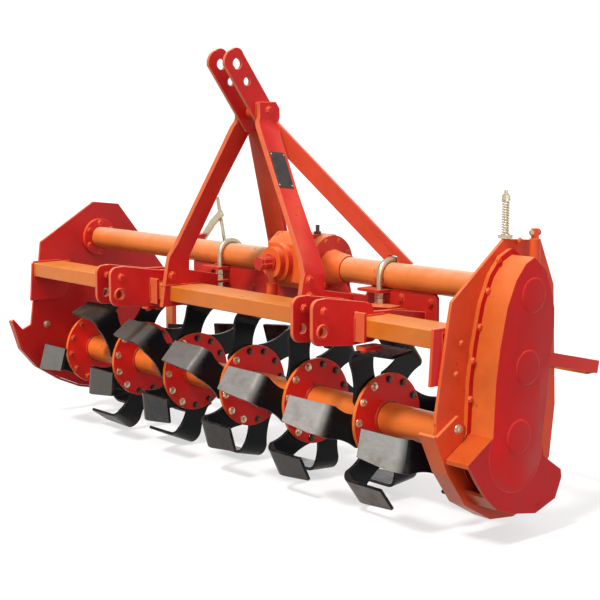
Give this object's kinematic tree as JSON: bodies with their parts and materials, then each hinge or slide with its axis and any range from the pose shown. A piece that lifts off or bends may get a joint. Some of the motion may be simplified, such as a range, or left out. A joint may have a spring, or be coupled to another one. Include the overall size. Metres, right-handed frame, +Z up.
{
  "type": "rotary tiller",
  "caption": "Tractor-mounted rotary tiller: bladed rotor under a frame with a three-point mast, bevel gearbox and side gear case.",
  "frame": {"origin": "centre of the whole object's footprint, on the ground", "axes": "+Z up, +Y to the rear, +X towards the side gear case; the rotor turns about +X"},
  "size_m": [1.803, 0.6343, 1.0605],
  "materials": {
    "red_paint": "glossy orange-red paint",
    "red_cast": "orange-red paint on cast iron",
    "blade_steel": "black paint, worn grey at the tips",
    "zinc_steel": "zinc plated steel",
    "black_plate": "plain black plate"
  },
  "bodies": {
    "frame": {"beam_ends": "red_paint", "bearing_left": "red_cast", "bearing_right": "red_cast", "blank_plate": "black_plate", "breather": "zinc_steel", "case_post": "red_paint", "clamp_lugs": "red_paint", "clamp_tabs": "red_paint", "drain_spout": "red_cast", "front_beam": "red_paint", "gear_case": "red_cast", "gearbox": "red_cast", "gearbox_covers": "red_cast", "hitch_bracket_left": "red_paint", "hitch_bracket_right": "red_paint", "lever_arm": "zinc_steel", "lever_bracket": "red_paint", "lower_guard": "red_paint", "main_tube_left": "red_paint", "main_tube_right": "red_paint", "mast_bolt": "zinc_steel", "mast_leg_left": "red_paint", "mast_leg_right": "red_paint", "mast_stay_left": "red_paint", "mast_stay_right": "red_paint", "parking_leg_left": "red_paint", "parking_leg_right": "red_paint", "rear_arm_left": "red_paint", "rear_arm_right": "red_paint", "rear_bar": "red_paint", "rod_spring": "zinc_steel", "runner_left": "red_paint", "runner_right": "red_paint", "side_plate_left": "red_paint", "side_plate_right": "red_paint", "spring_rod": "zinc_steel", "top_ears": "red_paint", "tube_flanges": "red_paint", "tube_web": "red_paint", "u_bolt_left": "zinc_steel", "u_bolt_right": "zinc_steel"},
    "rotor": {"rotor_shaft": "red_paint", "rotor_disc_1": "red_paint", "rotor_disc_2": "red_paint", "rotor_disc_3": "red_paint", "rotor_disc_4": "red_paint", "rotor_disc_5": "red_paint", "rotor_disc_6": "red_paint", "rotor_disc_7": "red_paint", "blades_1": "blade_steel", "blades_2": "blade_steel", "blades_3": "blade_steel", "blades_4": "blade_steel", "blades_5": "blade_steel", "blades_6": "blade_steel", "blades_7": "blade_steel"},
    "input": {"input_shaft": "red_paint"}
  },
  "joints": [
    {"name": "rotor_spin", "type": "hinge", "parent": "frame", "child": "rotor", "pos_m": [-0.1285, -0.0305, 0.20608], "axis": [1, 0, 0], "continuous": true},
    {"name": "input_spin", "type": "hinge", "parent": "frame", "child": "input", "pos_m": [0.1115, -0.0705, 0.53908], "axis": [0, 1, 0], "continuous": true}
  ],
  "couplings": [
    {"joint": "input_spin", "follows": "rotor_spin", "ratio": 2.5}
  ]
}
